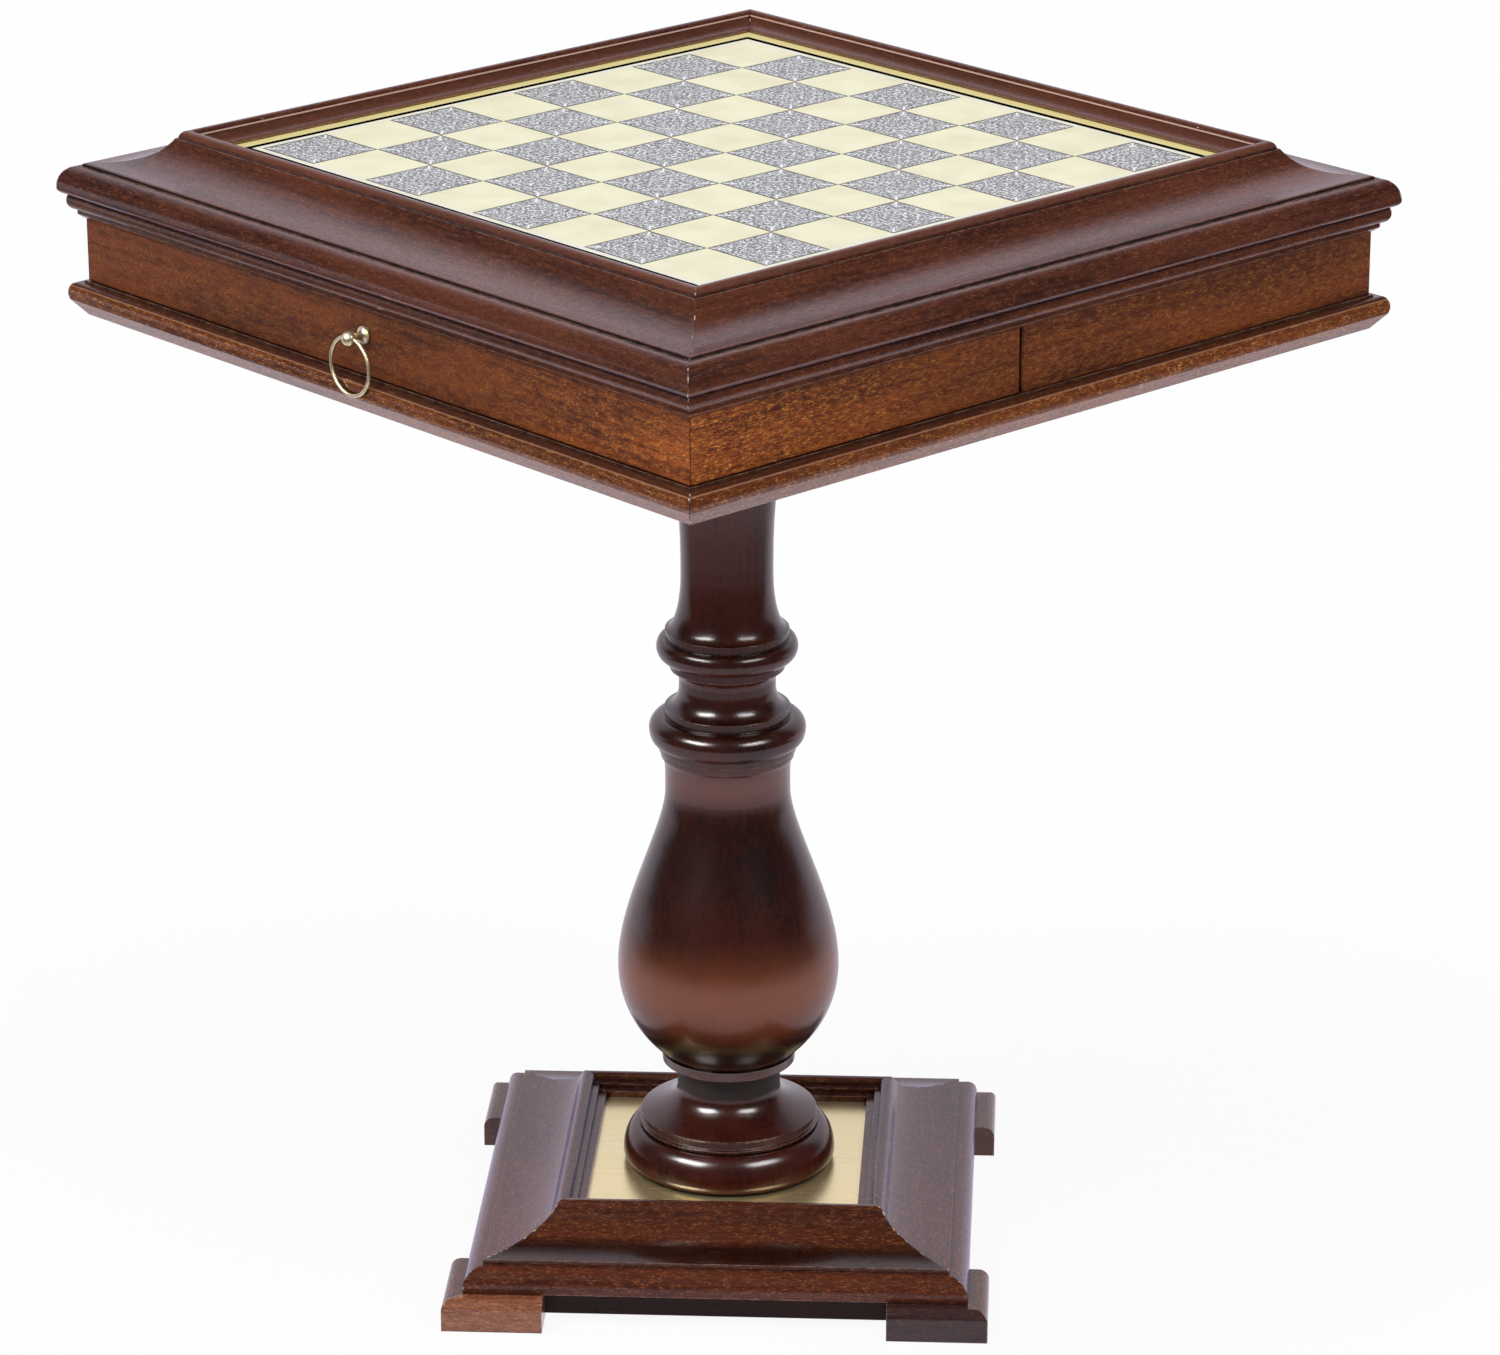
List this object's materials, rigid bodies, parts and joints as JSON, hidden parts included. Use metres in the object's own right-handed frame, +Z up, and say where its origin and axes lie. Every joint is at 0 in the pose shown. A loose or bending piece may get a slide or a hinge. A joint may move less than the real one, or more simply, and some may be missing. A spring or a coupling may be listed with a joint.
{
  "type": "chess table",
  "caption": "Square pedestal chess table with a cove-framed playing board, a drawer box with a ring pull, a turned column and a moulded square base.",
  "frame": {"origin": "on the floor, under the axis of the column, at the middle of the table's outline", "axes": "+Z up; +X and +Y square to the edges of the board; the drawer opens towards -Y; the base is turned 44.5 degrees about +Z against the board"},
  "size_m": [0.5572, 0.5604, 0.6962],
  "materials": {
    "moulding_wood": "satin lacquer over dark red-brown stain",
    "apron_wood": "satin lacquer over orange-brown stain",
    "inner_wood": "plain, lightly stained",
    "turned_wood": "gloss lacquer over dark stain",
    "base_wood": "satin lacquer over dark red-brown stain",
    "brushed_brass": "brushed",
    "antique_brass": "antiqued, polished by use",
    "black_enamel": "satin",
    "ivory_enamel": "satin",
    "silver_squares": "fine engraved scrollwork",
    "steel": "zinc plated"
  },
  "bodies": {
    "pedestal": {"column": "turned_wood", "column_foot": "turned_wood", "base_core": "base_wood", "base_bottom_board": "base_wood", "base_brass_plate": "brushed_brass", "tie_rod": "steel", "rod_nuts": "steel", "rod_washers": "steel", "bearing_washer": "steel", "base_rail_back": "base_wood", "base_rail_front": "base_wood", "base_rail_left": "base_wood", "base_rail_right": "base_wood", "foot_back_left_deep": "base_wood", "foot_back_left_wide": "base_wood", "foot_back_right_deep": "base_wood", "foot_back_right_wide": "base_wood", "foot_front_left_deep": "base_wood", "foot_front_left_wide": "base_wood", "foot_front_right_deep": "base_wood", "foot_front_right_wide": "base_wood"},
    "top": {"apron_back": "apron_wood", "apron_rear_left": "apron_wood", "apron_rear_right": "apron_wood", "bed_moulding_back": "moulding_wood", "bed_moulding_front": "moulding_wood", "bed_moulding_left": "moulding_wood", "bed_moulding_right": "moulding_wood", "black_line": "black_enamel", "block_screws": "steel", "board_panel": "inner_wood", "board_plate": "brushed_brass", "bottom_panel": "inner_wood", "dark_squares": "silver_squares", "divider": "inner_wood", "frame_rail_back": "moulding_wood", "frame_rail_front": "moulding_wood", "frame_rail_left": "moulding_wood", "frame_rail_right": "moulding_wood", "light_squares": "ivory_enamel", "lower_moulding_back": "moulding_wood", "lower_moulding_front": "moulding_wood", "lower_moulding_left": "moulding_wood", "lower_moulding_right": "moulding_wood", "margin_band": "ivory_enamel", "mounting_block": "inner_wood", "runner_left": "inner_wood", "runner_right": "inner_wood", "top_panel": "inner_wood"},
    "drawer": {"drawer_front": "apron_wood", "drawer_side_left": "apron_wood", "drawer_side_right": "apron_wood", "drawer_back": "inner_wood", "drawer_bottom": "inner_wood", "pull_post": "antique_brass", "pull_nut": "steel"},
    "ring": {"pull_ring": "antique_brass"}
  },
  "joints": [
    {"name": "top_swivel", "type": "hinge", "parent": "pedestal", "child": "top", "pos_m": [0, 0, 0.5746], "axis": [0, 0, 1], "continuous": true},
    {"name": "drawer_slide", "type": "slide", "parent": "top", "child": "drawer", "axis": [0, -1, 0], "range_m": [0, 0.19]},
    {"name": "ring_swing", "type": "hinge", "parent": "drawer", "child": "ring", "pos_m": [-0.0062, -0.2773, 0.62819], "axis": [-1, 0, 0], "range_deg": [-1, 140]}
  ]
}
